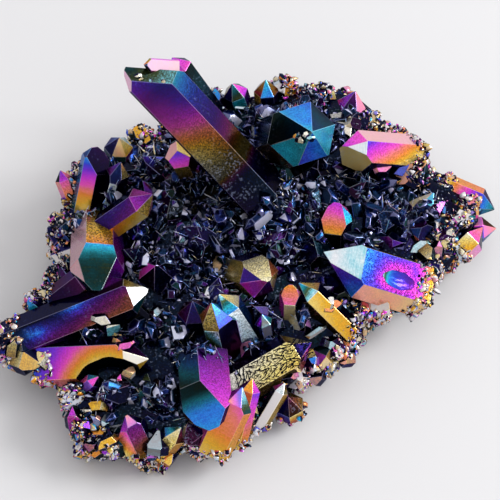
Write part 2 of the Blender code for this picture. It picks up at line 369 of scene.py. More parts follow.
def slab_place(direction, inset=SLAB_INSET):
    """Where a direction from the slab's middle meets its surface, in millimetres."""
    flat = math.hypot(direction.x, direction.y)
    angle = math.atan2(direction.y, direction.x)
    radius = (outline_radius(math.degrees(angle)) - inset) * flat**SIDE_FULLNESS
    x = radius * math.cos(angle)
    y = radius * math.sin(angle)
    waist = slab_level(WAIST_FRONT, WAIST_BACK, y)
    rise = slab_level(TOP_FRONT, TOP_BACK, y) - waist if direction.z > 0 else waist + BELOW_BASE
    z = waist + math.copysign(abs(direction.z) ** TOP_FULLNESS, direction.z) * rise
    place = Vector((x, y, z))
    lumps = noise.noise_vector(place / SLAB_LUMP_SIZE) * SLAB_LUMPS
    return place + lumps


def cut(bm, place, normal):
    """Cuts away what lies beyond a plane, closes the cut and gives back the faces that close it."""
    geometry = bm.verts[:] + bm.edges[:] + bm.faces[:]
    made = bmesh.ops.bisect_plane(
        bm, geom=geometry, plane_co=place, plane_no=normal, clear_outer=True, dist=1e-4
    )
    edges = [item for item in made["geom_cut"] if isinstance(item, bmesh.types.BMEdge)]
    if len(edges) < 3:
        return []
    return bmesh.ops.contextual_create(bm, geom=edges)["faces"]


def finish_piece(name, bm):
    """Makes a piece of a mesh drawn in millimetres: it wears the film and goes with the cluster."""
    bmesh.ops.scale(bm, vec=(MM, MM, MM), verts=bm.verts)
    mesh = bpy.data.meshes.new(name)
    bm.to_mesh(mesh)
    bm.free()
    return dress(new_object(name, mesh))


def dress(piece):
    piece.data.materials.append(film)
    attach(piece, "root")
    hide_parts("crystal_cluster")
    return piece


bm = bmesh.new()
bmesh.ops.create_icosphere(bm, subdivisions=5, radius=1.0)
coat = bm.loops.layers.float_color.new("coat")
grain = bm.loops.layers.uv.new("grain")
for vert in bm.verts:
    place = slab_place(vert.co.normalized())
    vert.co = place + noise.noise_vector(place / FINE_LUMP_SIZE) * FINE_LUMPS
cut(bm, Vector(), Vector((0, 0, -1)))
for face in bm.faces:
    for loop in face.loops:
        tint = noise.noise(loop.vert.co / 4) * 0.2 + 0.68
        loop[coat] = (tint, SLAB_PAINTED_SHADE, SLAB_GLINT_SPECKS, 0.0)
        loop[grain].uv = loop.vert.co.xy
finish_piece("matrix_slab", bm)

# Named points of the back.
# The tallest point leans over the back left and carries a small pale one near its end. A thick one
# beside it is seen from above. Each is a six-sided prism closed by a pyramid, its edges a little worn and
# painted with a highlight. Their faces are painted bright or dark as reflection and shade.
PYRAMID_TILT = math.radians(51.8)
SHOWN = Vector((0, -0.5, 0.87)).normalized()
END_ON = 0.95
EVEN = (1.0,) * SIDES
SHARP = (0.0,) * SIDES
EDGE_WEAR = 0.07  # width of a worn edge, in millimetres
# Worn edges are painted with a highlight: a brighter painted reflection and the pale wear colour.
EDGE_PAINTED_HIGHLIGHT = 0.12
EDGE_WEAR_AND_HIGHLIGHT = 0.18
BASE_LEVEL = 0.02  # where the feet are cut off, in millimetres over the base
SHARP_EDGE = 0.1  # angle in radians from which an edge of a crystal is worn
LEAST = 1e-4  # a length that counts as nothing, in millimetres
# A face's coat: film thickness, painted reflection (how bright or dark the face is painted, as light and
# shade), painted glint specks, worn film that is also a painted highlight, and how the film slants and skews
# across the face.
Coat = namedtuple("Coat", "film gleam fleck worn slant skew", defaults=(0.3, 0.0, 0.0, 0.0))


def axis_and_side(foot, tip):
    """A point's axis, and the direction across it that is nearest to SHOWN."""
    axis = (tip - foot).normalized()
    facing = SHOWN if axis.dot(SHOWN) < END_ON else Vector((0, SHOWN.z, -SHOWN.y))
    return axis, (facing - axis * facing.dot(axis)).normalized()


def blend(stops, share):
    """The value at a share of the way along stops that are spread evenly; a lone number stays the same."""
    if not isinstance(stops, tuple):
        return stops
    reach = share * (len(stops) - 1)
    first = min(int(reach), len(stops) - 2)
    return stops[first] + (stops[first + 1] - stops[first]) * (reach - first)


def lay_coat(faces, axis, coat_layer, grain_layer, coat):
    """Lays the film on the faces of one plane, changing along it from its foot to its top and across it."""
    normal = faces[0].normal
    along = (axis - normal * axis.dot(normal)).normalized()
    across = along.cross(normal)
    loops = [loop for face in faces for loop in face.loops]
    rises = [loop.vert.co.dot(along) for loop in loops]
    spans = [loop.vert.co.dot(across) for loop in loops]
    low, high = min(rises), max(rises)
    left, right = min(spans), max(spans)
    for loop, rise, span in zip(loops, rises, spans):
        side = (span - left) / max(right - left, LEAST) - 0.5
        share = (rise - low) / max(high - low, LEAST) + coat.skew * side
        share = min(max(share, 0), 1)
        film = blend(coat.film, share) + coat.slant * side
        loop[coat_layer] = (film, blend(coat.gleam, share), blend(coat.fleck, share), blend(coat.worn, share))
        loop[grain_layer].uv = (span, rise)


def unseen_coat(rng):
    """The coat of a face that has none of its own: two neighbouring colours, bright or dim."""
    # Its brightness is a painted reflection: bright, middling or dim.
    start = rng.uniform(CREAM, TEAL)
    bright = rng.choice((0.12, 0.35, 0.8))
    return Coat((start, start + rng.uniform(-0.2, 0.2)), (bright * 0.4, bright))


def slice_mesh(bm, start, way, length, count):
    """Cuts every face into strips across a direction, so that the film can change along it in steps."""
    for number in range(1, count):
        bmesh.ops.bisect_plane(
            bm,
            geom=bm.verts[:] + bm.edges[:] + bm.faces[:],
            plane_co=start + way * (length * number / count),
            plane_no=way,
            dist=LEAST,
        )


def point_mesh(foot, tip, width, turn, sides, caps, coats, rng, edge_wear=EDGE_WEAR, strips=(1, 1)):
    """One quartz point, sized in millimetres, cut out of a block by its prism and pyramid faces.

    strips is how many bands each face is cut into along the point and across it.
    """
    half = width / 2
    axis, side = axis_and_side(foot, tip)
    bm = bmesh.new()
    coat_layer = bm.loops.layers.float_color.new("coat")
    grain_layer = bm.loops.layers.uv.new("grain")
    place_in_crystal = bm.faces.layers.int.new("place_in_crystal")
    length = (tip - foot).length + half
    block = max(sides) * half * 4
    bmesh.ops.create_cube(bm, size=1.0)
    bmesh.ops.scale(bm, verts=bm.verts, vec=(block, block, length))
    bmesh.ops.translate(bm, verts=bm.verts, vec=(0, 0, length / 2))
    lie = Matrix((side, axis.cross(side), axis)).transposed().to_4x4()
    bmesh.ops.transform(bm, matrix=Matrix.Translation(foot) @ lie, verts=bm.verts)
    for number, (side_share, cap_share) in enumerate(zip(sides, caps)):
        around = Matrix.Rotation(math.radians(turn + 60 * number), 3, axis)
        outward = around @ side
        for face in cut(bm, foot + outward * half * side_share, outward):
            face[place_in_crystal] = number + 1
        slope = axis * math.cos(PYRAMID_TILT) + outward * math.sin(PYRAMID_TILT)
        for face in cut(bm, tip + axis * half * cap_share, slope):
            face[place_in_crystal] = number + 1 + SIDES
    cut(bm, Vector((0, 0, BASE_LEVEL)), Vector((0, 0, -1)))
    bmesh.ops.recalc_face_normals(bm, faces=bm.faces)
    slice_mesh(bm, foot, axis, length, strips[0])
    slice_mesh(bm, foot - axis.cross(side) * half * 2, axis.cross(side), width * 2, strips[1])
    names = ["foot"] + [f"s{number}" for number in range(SIDES)] + [f"c{number}" for number in range(SIDES)]
    for number, key in enumerate(names):
        faces = [face for face in bm.faces if face[place_in_crystal] == number]
        if faces:
            lay_coat(faces, axis, coat_layer, grain_layer, coats.get(key) or unseen_coat(rng))
    if not edge_wear:
        return bm
    sharp = [edge for edge in bm.edges if edge.calc_face_angle(0.0) > SHARP_EDGE]
    worn = bmesh.ops.bevel(
        bm, geom=sharp, offset=edge_wear, affect="EDGES", segments=1, profile=0.5, material=-1
    )
    # Painted highlight along the worn edges.
    for face in worn["faces"]:
        for loop in face.loops:
            film, gleam, fleck, _ = loop[coat_layer]
            loop[coat_layer] = (film, min(gleam + EDGE_PAINTED_HIGHLIGHT, 1.0), fleck, EDGE_WEAR_AND_HIGHLIGHT)
    return bm


def break_out(piece, lie, size, coat):
    """Takes a rounded hollow out of a piece. lie places the hollow and size is its half-widths along lie.

    The coat of the hollow changes along the first direction of lie.
    """
    bm = bmesh.new()
    coat_layer = bm.loops.layers.float_color.new("coat")
    grain_layer = bm.loops.layers.uv.new("grain")
    bmesh.ops.create_icosphere(bm, subdivisions=4, radius=1.0)
    for face in bm.faces:
        for loop in face.loops:
            share = loop.vert.co.x / 2 + 0.5
            loop[coat_layer] = (blend(coat.film, share), blend(coat.gleam, share), coat.fleck, coat.worn)
            loop[grain_layer].uv = loop.vert.co.yz * size[1]
    for vert in bm.verts:
        vert.co *= 1 + noise.noise(vert.co * 2.5) * 0.08
    bmesh.ops.transform(bm, matrix=lie @ Matrix.Diagonal((*size, 1)), verts=bm.verts)
    bmesh.ops.scale(bm, vec=(MM, MM, MM), verts=bm.verts)
    mesh = bpy.data.meshes.new("hollow")
    bm.to_mesh(mesh)
    bm.free()
    hollow = new_object("hollow", mesh)
    taken = piece.modifiers.new("hollow", "BOOLEAN")
    taken.operation = "DIFFERENCE"
    taken.solver = "EXACT"
    taken.object = hollow
    evaluated = piece.evaluated_get(bpy.context.evaluated_depsgraph_get())
    piece.data = bpy.data.meshes.new_from_object(evaluated)
    piece.modifiers.clear()
    bpy.data.objects.remove(hollow)


def tint_round(piece, facing, lie, size, film, reach):
    """Colours the faces that look one way by how far outside a hollow they lie, up to reach millimetres."""
    coat_layer = piece.data.attributes["coat"].data
    inwards = lie.inverted()
    for face in piece.data.polygons:
        if face.normal.dot(facing) < 0.98:
            continue
        for index in face.loop_indices:
            place = piece.data.vertices[piece.data.loops[index].vertex_index].co / MM
            inside = inwards @ place
            out = Vector([along / half for along, half in zip(inside, size)]).length
            gap = inside.length * (1 - 1 / max(out, 1))
            own, gleam, fleck, worn = coat_layer[index].color
            share = min(gap / reach, 1)
            near = min(3 - 3 * share, 1)
            coat_layer[index].color = (own + (blend(film, share) - own) * near, gleam, fleck, worn)


named_points = []


def grow(name, foot, tip, width, turn=0, sides=EVEN, caps=SHARP, strips=(1, 1), **coats):
    """A named point as a piece of its own, its foot buried in the slab."""
    foot = Vector(foot)
    tip = Vector(tip)
    named_points.append((foot, tip, width))
    rng = random.Random(name)
    bm = point_mesh(foot, tip, width, turn, sides, caps, coats, rng, EDGE_WEAR, strips)
    return finish_piece(name, bm)


grow(
    "tall_spear", (7.5, 11, 15), (-24, 28.5, 50), 11, -10, (0.85, 0.85, 0.9, 0.8, 0.45, 1.15),
    (0.9, -0.4, -0.6, 0.2, 0.4, 0.8), strips=(36, 1),
    s0=Coat(
        (BLUE,) * 7 + (0.05, 0.08, 0.11, 0.15, 0.22, 0.34, 0.42, 0.47, 0.50, 0.53, 0.56, 0.58),
        (0.04, 0.03, 0.02, 0.02, 0.06, 0.24, 0.34, 0.24, 0.14, 0.38),
        (0.7, 0.7, 0.8, 0.9, 0.9, 0.7, 0.35, 0.2, 0.15, 0.4), slant=0.16,
    ),
    s1=Coat(
        (BLUE,) * 8 + (0.08, 0.12, 0.24, 0.38, 0.50, 0.56, 0.58, 0.60, 0.64, 0.70, 0.78),
        (0.02, 0.02, 0.03, 0.05, 0.12, 0.10, 0.10, 0.16, 0.28, 0.45),
        (0.9, 0.8, 0.7, 0.8, 0.8, 0.6, 0.3, 0.6, 0.7, 0.2),
    ),
    s5=Coat((0.5, 0.6), (0.03, 0.08)),
    c1=Coat((0.92, 0.84), (0.5, 0.12), 0.5),
    c0=Coat(TEAL, (0.3, 0.2)),
    c5=Coat((SALMON, PINK), 0.9, 0.1, 0.6),
)
grow(
    "pink_on_spear", (-15, 29.6, 45), (-22, 26.7, 50), 2.6, 0, (0.4, 1, 1, 1.5, 1, 1),
    s0=Coat((SALMON, PINK), 0.9, 0.0, 0.65),
    s1=Coat((PINK, MAGENTA), 0.9, 0.0, 0.3),
)
grow(
    "spear_behind", (-6.5, 37, 12), (-17, 42.5, 30), 5, -20,
    s0=Coat((BLUE, VIOLET), (0.03, 0.1), 0.5),
    s1=Coat((BLUE, TEAL), (0.03, 0.06), 0.7),
    s2=Coat((BLUE, TEAL), (0.03, 0.06), 0.7),
    c0=Coat((PINK, VIOLET), 0.9),
    c1=Coat((PINK, MAGENTA), 0.8),
    c5=Coat((MAGENTA, VIOLET), 0.9),
)
grow(
    "teal_point", (8, 30, 16), (13, 18, 38), 12.5, 18, (1, 1.15, 1.05, 0.93, 1, 1),
    c0=Coat((AZURE, 0.76), (0.75, 0.95), slant=0.1),
    c1=Coat(TEAL, (0.08, 0.10), 0.4),
    c2=Coat((CYAN, 0.84), (0.8, 0.6), 0.4),
    c3=Coat((0.64, AZURE), (0.85, 0.9), slant=0.08),
    c4=Coat((0.75, CYAN), (0.7, 0.8)),
    c5=Coat((0.80, 0.72), (0.10, 0.14), 0.4),
    s0=Coat((BLUE, TEAL), (0.05, 0.3)),
    s1=Coat((BLUE, TEAL), (0.05, 0.12)),
    s2=Coat((ORANGE, GOLD), (0.12, 0.22), 0.6),
    s3=Coat((BLUE, VIOLET), (0.02, 0.06), 0.8),
    s4=Coat((BLUE, VIOLET), (0.02, 0.06), 0.8),
)
grow(
    "back_magenta_point", (-2, 41, 12), (-4, 42.5, 20), 5,
    c1=Coat((MAGENTA, PINK), (0.9, 1.0)),
    c0=Coat((OLIVE, CYAN), (0.2, 0.4)),
)
grow(
    "back_cyan_point", (4, 41, 12), (3.5, 43.5, 20), 5,
    c0=Coat((AZURE, CYAN), 1.0),
    c1=Coat((ORANGE, GOLD), (0.15, 0.3)),
    c5=Coat((ORANGE, GOLD), (0.15, 0.3)),
)
grow(
    "back_black_point", (21.5, 39, 9), (23.5, 42.5, 17), 7,
    c0=Coat((VIOLET, MAGENTA), (0.05, 0.15)),
    c1=Coat((PINK, SALMON), (0.9, 1.0), 0.2, 0.2),
    c5=Coat((MAGENTA, VIOLET), (0.4, 0.6)),
)

# Named points of the right-hand side.
# They lie outwards or across the slope: one with a white cap face, one at the long end of the slab, a
# small bright pyramid, and the largest one on this side, whose broad face has a smooth hollow in it.
grow(
    "gold_purple_point", (36.5, 28, 13), (19, 22.5, 24), 8, -3, EVEN, (0.1, 0.1, 0, 0, 0.8, -0.35),
    c0=Coat(WHITE, 1.0, 0.0, 0.3),
    c1=Coat((PINK, MAGENTA), (1.0, 0.9)),
    c5=Coat((0.12, 0.05), 1.0, 0.0, 0.1),
    s1=Coat(SALMON, 0.9, 0.1, 0.45),
    s0=Coat((0.02, 0.48), 0.9, slant=0.22),
    s5=Coat(BLUE, (0.05, 0.08), 0.6),
)
grow(
    "right_edge_point", (42.5, 21.5, 10), (54, 17, 8), 6, -5,
    s0=Coat((0.08, 0.66), 0.9, slant=0.1),
    s1=Coat((GOLD, SALMON), (0.6, 0.9)),
    s5=Coat((GOLD, ORANGE), 0.9),
    c0=Coat((BLUE, TEAL), (0.8, 0.3)),
    c1=Coat((AZURE, TEAL), (0.5, 0.2)),
)
grow(
    "magenta_kite", (18.3, 4, 9), (18.3, 9.5, 22.5), 6.3, -12, EVEN, (-0.5, 0.1, 0.4, 0.4, 0.4, 0.2),
    c0=Coat((GOLD, 0.46), (0.9, 1.0)),
    c1=Coat((CYAN, AZURE), 0.8, 0.5),
    c2=Coat((PINK, SALMON), (0.9, 1.0)),
    s0=Coat((TEAL, OLIVE), (0.04, 0.08), 0.5),
    s1=Coat((BLUE, VIOLET), (0.02, 0.05), 0.5),
)
BLUE_TURN = 12
BLUE_SIDES = (0.85, 1.25, 0.55, 0.8, 1, 0.95)
big_blue_point = grow(
    "big_blue_point", (37, -4.4, 9.4), (15, -4, 22), 10, BLUE_TURN, BLUE_SIDES,
    (-0.5, 0.3, 1, 0.5, -0.5, -0.55), strips=(20, 6),
    c0=Coat((0.94, 0.95, 1.0, 0.96), 1.0, 0.1, (0.0, 0.1, 0.3, 0.1)),
    c1=Coat((MAGENTA, PINK), 0.9),
    c5=Coat((0.66, 0.50), (0.9, 0.8), slant=-0.1),
    c4=Coat((BLUE, VIOLET), (0.7, 0.8)),
    s0=Coat((0.08, 0.34, 0.50, 0.57, 0.59, 0.61, 0.66), (0.9, 0.8, 0.55, 0.5, 0.6, 0.7), 0.7, slant=0.05),
    s5=Coat((GOLD, 0.25), (0.9, 0.95), 0.2, 0.25),
    s1=Coat((0.12, 0.16), (0.1, 0.05), 0.5),
)
HOLLOW_SIZE = Vector((4.0, 2.0, 0.8))
HOLLOW_ALONG = 8.5
HOLLOW_LIFT = 0.2
foot, tip, width = named_points[-1]
axis, side = axis_and_side(foot, tip)
facing = Matrix.Rotation(math.radians(BLUE_TURN), 3, axis) @ side
lie = Matrix((axis, facing.cross(axis), facing)).transposed().to_4x4()
lie.translation = foot + axis * HOLLOW_ALONG + facing * (width / 2 * BLUE_SIDES[0] + HOLLOW_LIFT)
tint_round(big_blue_point, facing, lie, HOLLOW_SIZE, (0.38, 0.46, 0.53, 0.57), 3.0)
# The hollow's coat brightens towards its far end: painted reflection.
hollow_coat = Coat((0.50, 0.56, 0.62, 0.68, 0.97), (0.5, 0.6, 0.7, 0.8, 1.0), 0.1)
break_out(big_blue_point, lie, HOLLOW_SIZE, hollow_coat)
grow(
    "right_block_point", (45.5, 7, 7), (51, 12, 9), 6,
    s0=Coat((GOLD, 0.08), 0.95, slant=0.1),
    c0=Coat((PINK, SALMON), 0.9),
    s1=Coat((SALMON, PINK), 0.8, 0.3, 0.3),
)
grow(
    "right_end_point", (44, 12.6, 6), (54.3, 13.2, 6.4), 5, 12,
    s0=Coat((PINK, VIOLET), 0.9, slant=0.1),
    s5=Coat((ORANGE, PINK), 0.9, 0.0, 0.2),
    c0=Coat((PINK, SALMON), 0.9, 0.0, 0.2),
)

# Named points of the middle.
# Shorter ones stand between the large ones at all angles, some painted nearly black and some bright, as shade
# and reflection.
grow(
    "gold_bar", (21.3, -14.5, 9.5), (10.2, -7.5, 19), 5.5,
    s0=Coat((GOLD, 0.11), (0.9, 1.0), 0.15, slant=0.05),
    c0=Coat((0.97, AZURE), (0.9, 0.8)),
    s1=Coat(BLUE, (0.03, 0.05), 0.5),
    s5=Coat(GOLD, (0.05, 0.1)),
)
grow(
    "orange_point", (8.5, -12, 11), (8.5, -9, 20), 4, -5, EVEN, (-0.5, 0.3, 0.4, 0.4, 0.4, 0.3),
    c0=Coat((0.33, 0.20), 1.0),
    s0=Coat((0.10, 0.04), (0.6, 0.9), 0.3, 0.2),
    s5=Coat((MAGENTA, PINK), (0.8, 0.9)),
    s1=Coat((BLUE, VIOLET), (0.05, 0.1)),
)
grow(
    "pale_bar", (0, -16.5, 9), (-6.5, -13, 24), 6, 5,
    s0=Coat((0.97, 0.96, 0.98), (0.8, 1.0), 0.8, 0.3),
    c0=Coat((AZURE, 0.96), (0.9, 1.0), 0.5),
    s1=Coat((BLUE, AZURE), (0.1, 0.2), 0.6),
    s5=Coat((VIOLET, BLUE), (0.02, 0.04)),
)
grow(
    "pale_blue_point", (-5, -21, 8), (-8, -15, 24), 7.5, -25, (1, 0.9, 1.1, 1, 1, 0.8),
    s0=Coat((BLUE, 0.96), (0.3, 0.6), 0.6, slant=0.1),
    s1=Coat((ORANGE, BLUE), (0.03, 0.05)),
    s5=Coat((BLUE, AZURE), (0.05, 0.2)),
    c0=Coat((0.10, 0.06), (0.2, 0.5), 0.8),
    c1=Coat((BLUE, AZURE), (0.2, 0.5)),
)
grow(
    "grey_point", (3.4, -16.2, 11), (2.5, -14.5, 18), 3.5, 15,
    s0=Coat((AZURE, BLUE), (0.15, 0.3), 0.5, 0.4),
    c0=Coat((ICE, AZURE), (0.3, 0.5), 0.4, 0.3),
    s5=Coat(BLUE, (0.05, 0.15), 0.6),
)
grow(
    "round_dark_point", (-11.5, -15, 10), (-12, -13, 21), 6,
    c0=Coat((VIOLET, BLUE), (0.06, 0.12), 0.5),
    c1=Coat((TEAL, BLUE), (0.1, 0.3), 0.6),
    c5=Coat((MAGENTA, VIOLET), (0.1, 0.2), 0.5),
    s0=Coat((VIOLET, BLUE), (0.01, 0.04)),
)
grow(
    "cream_wedge", (-2, -1.5, 13), (4, -9.5, 24), 8, 0, EVEN, (0, 0, 0, 0, 0, -0.3),
    c5=Coat((0.03, 0.04), (0.15, 1.0), 0.6),
    c0=Coat((VIOLET, 0.58), 0.25),
    c1=Coat((MAGENTA, PINK), (0.8, 0.6)),
    s0=Coat((0.05, 0.10), (0.3, 0.7), 0.5),
    s1=Coat((0.05, 0.10), (0.2, 0.5), 0.6),
)
COMB_SHARE = 0.8
COMB_ROWS = 13
COMB_TEETH = 16
COMB_START = 2.5
COMB_REACH = 0.86
COMB_SPREAD = 0.62
TOOTH_LENGTHS = (0.4, 1.5)
TOOTH_WIDTHS = (0.14, 0.26)
TOOTH_HEIGHT = 0.16
grow(
    "comb_plate", (-4.5, -28.5, 10.5), (13, -19, 14), 8, 0, (COMB_SHARE, 1, 1, 1, 1, 1), strips=(12, 1),
    s0=Coat((0.0, 0.06, 0.09), (0.8, 0.85, 0.9), 0.6, (0.3, 0.0, 0.0), slant=0.05),
    s5=Coat((BLUE, VIOLET), (0.02, 0.05), 0.9),
    s1=Coat((GOLD, STRAW), (0.2, 0.3), 0.7),
)
rng = random.Random(12)
foot, tip, width = named_points[-1]
axis, side = axis_and_side(foot, tip)
across = axis.cross(side)
bm = bmesh.new()
for row in range(COMB_ROWS):
    for number in range(COMB_TEETH):
        out = (row + rng.uniform(-0.3, 0.3)) / (COMB_ROWS - 1) - 0.5
        up = (number + rng.uniform(-0.4, 0.4)) / COMB_TEETH
        way = Matrix.Rotation(rng.gauss(0, 0.5) + (1.2 if up < 0.15 else 0), 3, side)
        lie = Matrix((axis, across, side)).transposed()
        lie = (way @ lie).to_4x4()
        lie.translation = foot + side * (width / 2 * COMB_SHARE) + across * (out * width * COMB_SPREAD)
        lie.translation += axis * (COMB_START + up * (tip - foot).length * COMB_REACH)
        tooth = Matrix.Diagonal((rng.uniform(*TOOTH_LENGTHS), rng.uniform(*TOOTH_WIDTHS), TOOTH_HEIGHT, 1))
        bmesh.ops.create_cube(bm, size=1.0, matrix=lie @ tooth)
# The teeth are painted near black as shade.
coat = bm.loops.layers.float_color.new("coat")
grain = bm.loops.layers.uv.new("grain")
for face in bm.faces:
    for loop in face.loops:
        loop[coat] = (BLUE, 0.01, 0.0, 0.0)
        loop[grain].uv = loop.vert.co.xy
finish_piece("comb_teeth", bm)

# Named points of the front.
# They lie outwards over the front edge, and their long faces are painted brightest, as the light they catch.
grow(
    "blue_magenta_point", (-10, -22.5, 14), (-8.5, -40, 15), 10, -28, (0.9, 1, 1, 1, 1, 1.1),
    (0.6, -0.5, 0.2, 0.2, 0.2, 0.4), strips=(24, 1),
    s1=Coat((BLUE, 0.72, 0.84), (0.03, 0.12, 0.10), 0.5, slant=0.1),
    s0=Coat((0.50, 0.44, 0.41), (0.10, 0.5, 0.85), 0.4),
    c1=Coat((0.84, 0.83, 0.76, 0.70, 0.70, 0.72), (0.06, 0.08, 0.3, 1.0, 1.0, 1.0), 0.2),
    c0=Coat((AZURE, CYAN), 1.0),
    s2=Coat(BLUE, (0.03, 0.06)),
    s5=Coat((VIOLET, MAGENTA), (0.1, 0.3)),
)
grow(
    "gold_pair_large", (-8, -40.6, 6), (-1.5, -31.5, 18), 6.5, 0, (0.8, 1.1, 1, 1, 1, 1.1),
    s0=Coat((0.11, 0.33), (0.9, 1.0), 0.1, slant=0.03),
    s5=Coat((0.30, 0.42), (0.8, 0.9)),
    c0=Coat((PINK, AZURE), 1.0, 0.2, 0.2, slant=0.3),
    s1=Coat((GOLD, ORANGE), (0.7, 0.8)),
)
grow(
    "gold_pair_small", (-3, -38.5, 4.5), (0.5, -28.5, 16), 4, -10,
    s0=Coat((0.12, 0.20), (0.9, 1.0)),
    s1=Coat((GOLD, VIOLET), (0.6, 0.9)),
    c0=Coat((ORANGE, GOLD), 1.0),
    c1=Coat((MAGENTA, PINK), (0.8, 0.9)),
)
grow(
    "front_purple_point", (-22.2, -41, 5.5), (-26.5, -34.5, 14), 6, 15, EVEN, (0.2, 0, -0.4, -1, -0.6, 0),
    s0=Coat((0.10, 0.50), (0.1, 0.25), 0.5),
    s5=Coat((0.08, 0.34), (0.9, 1.0), slant=0.15),
    c0=Coat((MAGENTA, SALMON), (0.9, 1.0), 0.2, 0.3),
    c5=Coat((MAGENTA, VIOLET), (0.6, 0.3)),
    s1=Coat((BLUE, VIOLET), (0.04, 0.08)),
)
grow(
    "white_bar", (1.7, -34.7, 5), (7.3, -28, 13), 3.2,
    s0=Coat(0.0, 1.0, 0.0, 0.65),
    s1=Coat((STRAW, GOLD), (0.3, 0.4)),
    s5=Coat(BLUE, (0.05, 0.1)),
    c0=Coat(WHITE, 0.8),
)
grow(
    "striped_gold_point", (-19, -40.5, 5), (-14.2, -38, 12.5), 4.5,
    s0=Coat((0.16, 0.08), (0.8, 0.9), 0.8),
    s5=Coat((BLUE, CYAN), (0.05, 0.1), 0.6),
    s1=Coat((ORANGE, GOLD), (0.6, 0.7)),
    c0=Coat((STRAW, CREAM), (0.7, 0.9)),
)
grow(
    "front_dark_point", (8.7, -30, 3), (8, -29.6, 9.5), 5.5, 20,
    c0=Coat((0.20, 0.40), (0.03, 0.10), 0.8),
    c1=Coat((0.14, 0.34), (0.20, 0.10), 0.8),
    c2=Coat((GOLD, ORANGE), (0.5, 0.2), 0.8),
    c3=Coat((MAGENTA, PINK), (0.5, 0.3), 0.5),
    c5=Coat((BLUE, VIOLET), (0.03, 0.06)),
)

# Named points of the left-hand side.
# Two long logs lie out to the left, one above the other, the lower with a shell-shaped break out of its
# front corner. Behind them stand a thin blade, a thin dark point with one pale face, and broader ones.
grow(
    "violet_log", (-52.5, -16.5, 7), (-21, -9.5, 20), 9, 0, EVEN, (0.5, 0.4, -0.2, -0.4, -0.2, 0.4),
    strips=(24, 8),
    s0=Coat(
        (0.62, 0.62, 0.64, 0.70, 0.60, 0.54, 0.50, 0.46, 0.42, 0.34, 0.24),
        (0.02, 0.03, 0.10, 1.00, 0.35, 0.16, 0.14, 0.12, 0.11, 0.12, 0.22),
        0.55, skew=0.7,
    ),
    s5=Coat((BLUE, BLUE, 0.30), (0.06, 0.03, 0.06), 0.4),
    s1=Coat((AZURE, MAGENTA, VIOLET, BLUE, BLUE), (0.7, 0.7, 0.03, 0.02, 0.02), 0.6),
    c0=Coat(WHITE, 1.0, 0.0, 0.4),
    c5=Coat((0.08, 0.02), (0.1, 0.5), 0.6),
)
BREAK_CENTRE = Vector((-29.5, -30, 14))
BREAK_SIZE = Vector((9, 6.5, 7))
sunset_bar = grow(
    "sunset_bar", (-44.5, -20.4, 7), (-21, -24, 16), 8.5, 0, (0.8, 1.1, 1, 1, 1, 1.1), strips=(28, 14),
    s0=Coat((0.66, 0.20), (0.85, 0.95), 0.15, slant=0.12),
    s1=Coat((PINK, GOLD), 1.0, 0.2),
    c0=Coat((0.02, CREAM), 1.0, 0.0, 0.5),
    c1=Coat((ORANGE, 0.10), (0.8, 1.0)),
    s5=Coat((BLUE, VIOLET), (0.03, 0.06), 0.8),
)
axis, side = axis_and_side(*named_points[-1][:2])
lie = Matrix.Translation(BREAK_CENTRE)
break_hues = (0.10, 0.18, 0.26, 0.37, 0.45, 0.50, 0.53, 0.56, 0.62, 0.70)
tint_round(sunset_bar, side, lie, BREAK_SIZE, break_hues, 12.0)
# Inside the break the coat is painted near black as shade.
break_out(sunset_bar, lie, BREAK_SIZE, Coat((BLUE, TEAL, BLUE), (0.02, 0.03, 0.02), 0.4))
grow(
    "pink_blade", (-36.5, 13, 9), (-32.5, 24, 24), 6, -12, EVEN, (0.4, -0.7, 0, 0, 0, 0.3), strips=(20, 1),
    s0=Coat((0.02, 0.03, 0.06, 0.11, 0.15, 0.22, 0.33, 0.40, 0.48, 0.58, 0.72), 0.95, 0.05, slant=-0.04),
    s1=Coat((BLUE, VIOLET), (0.02, 0.03), 0.2),
    c1=Coat(VIOLET, (0.02, 0.04)),
    s5=Coat((CYAN, AZURE), (0.3, 0.5)),
)
grow(
    "white_strip_point", (-31.9, 12.7, 10), (-27.7, 19.4, 24), 4.5, 0, (1.4, 1, 1, 1, 1, 1), strips=(12, 1),
    s0=Coat((0.98, 0.96, 0.97), (0.9, 0.7, 0.95), 0.2, 0.25),
    s1=Coat((BLUE, VIOLET), (0.02, 0.03)),
    s5=Coat((BLUE, VIOLET), (0.02, 0.03)),
    c1=Coat((STRAW, CREAM), (0.5, 0.8)),
)
grow(
    "purple_gold_point", (-33, 7, 15), (-20.5, 9.5, 27), 6, -10,
    s0=Coat((0.56, 0.47), (0.10, 0.22), 0.4, slant=-0.05),
    s1=Coat((0.22, 0.10), 1.0, 0.2, slant=-0.1),
    c0=Coat((MAGENTA, VIOLET), (0.5, 0.2)),
    c1=Coat((0.12, 0.10), (0.3, 0.1), 0.7),
    s5=Coat((BLUE, VIOLET), (0.02, 0.05)),
)
grow(
    "teal_slab_point", (-33, 9, 13), (-32, -10, 22), 10, -12, EVEN, (-0.4, 0.2, 0.3, 0.3, 0.3, 0),
    strips=(20, 1),
    c0=Coat((0.72, 0.82, 0.84, 0.84, 0.83), (1.0, 0.32, 0.18, 0.16, 0.22)),
    c1=Coat(SALMON, 0.5, 0.2, 0.4),
    c5=Coat((0.50, MAGENTA), (0.25, 0.2), 0.5),
    s0=Coat((GOLD, 0.12, 0.20), (0.10, 0.5, 0.7), 0.8),
    s1=Coat(SALMON, 0.5, 0.2, 0.4),
    s5=Coat((VIOLET, MAGENTA), (0.2, 0.4)),
)
